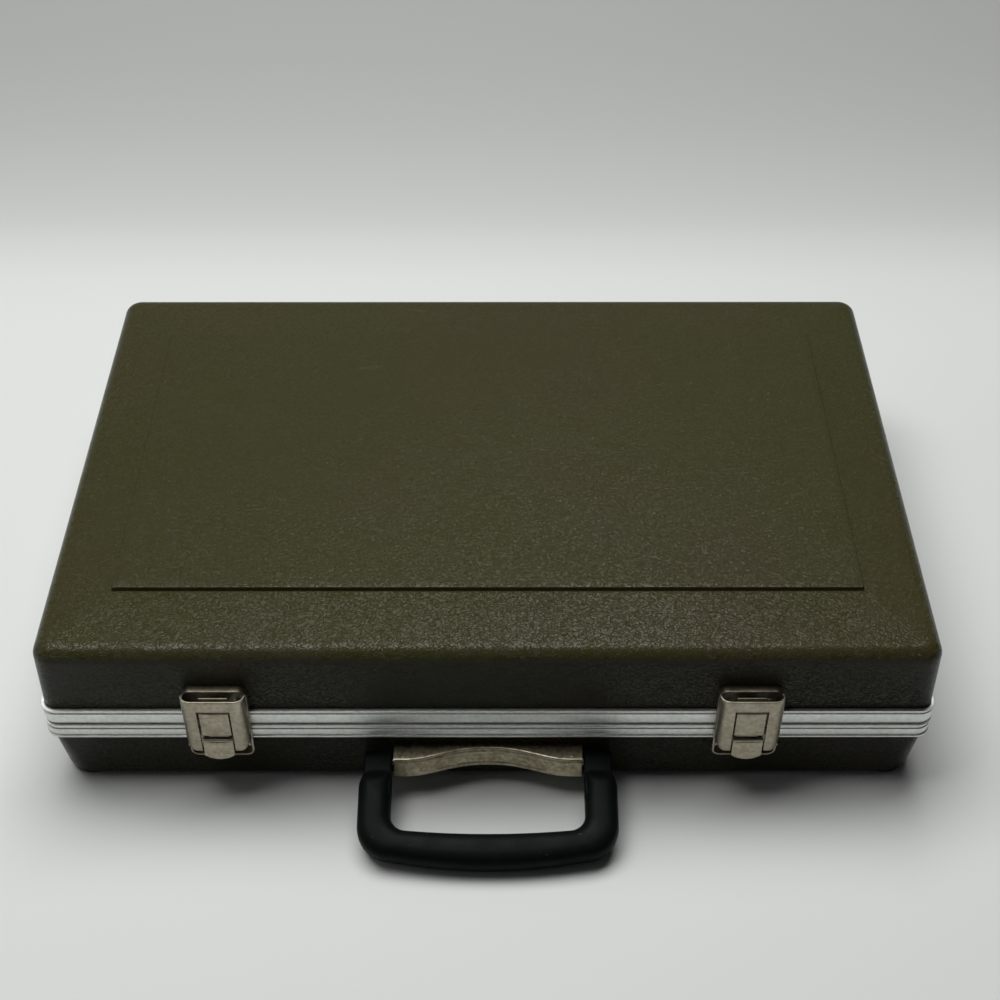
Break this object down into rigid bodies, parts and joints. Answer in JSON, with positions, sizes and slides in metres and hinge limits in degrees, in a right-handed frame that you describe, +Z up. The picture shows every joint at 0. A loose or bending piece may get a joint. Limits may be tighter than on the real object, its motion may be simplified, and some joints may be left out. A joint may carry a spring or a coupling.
{
  "type": "attache case",
  "caption": "Flat moulded plastic case with a hinged lid, metal edge valances, draw latches and a folding U handle.",
  "frame": {"origin": "under the middle of the whole outline, the handle at rest and the hinges included, on the surface that the four moulded feet stand on", "axes": "+X along the front from left to right, -Y out of the front with the handle and latches, +Z up"},
  "size_m": [0.4444, 0.3626, 0.0985],
  "materials": {
    "grained_shell": "olive brown moulded plastic with a fine leather grain",
    "valance_metal": "dull extruded aluminium, lightly stained",
    "lining": "thin cloth-faced lining board",
    "handle_plastic": "black moulded plastic, lightly scuffed",
    "bracket_metal": "aged plated steel, warm and mottled",
    "latch_metal": "aged nickel plated steel",
    "hinge_steel": "plated steel",
    "rivet_steel": "plated steel pins and rivets"
  },
  "bodies": {
    "base": {"base_shell": "grained_shell", "base_valance": "valance_metal", "base_splice_plate": "valance_metal", "base_splice_rivets": "rivet_steel", "base_liner": "lining", "handle_bracket": "bracket_metal", "handle_backing_plate": "rivet_steel", "handle_bracket_rivets": "rivet_steel", "handle_pin_left": "rivet_steel", "handle_pin_right": "rivet_steel", "latch_base_plate_left": "latch_metal", "latch_base_rivets_left": "rivet_steel", "lever_pin_left": "rivet_steel", "hinge_base_leaf_left": "hinge_steel", "hinge_pin_left": "rivet_steel", "hinge_base_rivets_left": "rivet_steel", "latch_base_plate_right": "latch_metal", "latch_base_rivets_right": "rivet_steel", "lever_pin_right": "rivet_steel", "hinge_base_leaf_right": "hinge_steel", "hinge_pin_right": "rivet_steel", "hinge_base_rivets_right": "rivet_steel"},
    "lid": {"lid_shell": "grained_shell", "lid_valance": "valance_metal", "lid_splice_plate": "valance_metal", "lid_splice_rivets": "rivet_steel", "lid_liner": "lining", "catch_plate_left": "latch_metal", "keeper_left": "latch_metal", "catch_rivets_left": "rivet_steel", "hinge_lid_leaf_left": "hinge_steel", "hinge_lid_rivets_left": "rivet_steel", "catch_plate_right": "latch_metal", "keeper_right": "latch_metal", "catch_rivets_right": "rivet_steel", "hinge_lid_leaf_right": "hinge_steel", "hinge_lid_rivets_right": "rivet_steel"},
    "handle": {"handle": "handle_plastic"},
    "lever_left": {"lever_left": "latch_metal"},
    "hasp_left": {"hasp_left": "latch_metal", "hasp_pin_left": "rivet_steel"},
    "lever_right": {"lever_right": "latch_metal"},
    "hasp_right": {"hasp_right": "latch_metal", "hasp_pin_right": "rivet_steel"}
  },
  "joints": [
    {"name": "lid_hinge", "type": "hinge", "parent": "base", "child": "lid", "pos_m": [0, 0.17332, 0.045], "axis": [-1, 0, 0], "range_deg": [0, 95]},
    {"name": "handle_swing", "type": "hinge", "parent": "base", "child": "handle", "pos_m": [0, -0.12598, 0.021], "axis": [-1, 0, 0], "range_deg": [-65, 82]},
    {"name": "lever_left_throw", "type": "hinge", "parent": "base", "child": "lever_left", "pos_m": [-0.13365, -0.12768, 0.0415], "axis": [-1, 0, 0], "range_deg": [0, 115]},
    {"name": "hasp_left_swing", "type": "hinge", "parent": "lever_left", "child": "hasp_left", "pos_m": [-0.13365, -0.12651, 0.03684], "axis": [-1, 0, 0], "range_deg": [-143.75, 0]},
    {"name": "lever_right_throw", "type": "hinge", "parent": "base", "child": "lever_right", "pos_m": [0.12885, -0.12768, 0.0415], "axis": [-1, 0, 0], "range_deg": [0, 115]},
    {"name": "hasp_right_swing", "type": "hinge", "parent": "lever_right", "child": "hasp_right", "pos_m": [0.12885, -0.12651, 0.03684], "axis": [-1, 0, 0], "range_deg": [-143.75, 0]}
  ],
  "couplings": [
    {"joint": "hasp_left_swing", "follows": "lever_left_throw", "ratio": -1.25},
    {"joint": "hasp_right_swing", "follows": "lever_right_throw", "ratio": -1.25}
  ]
}
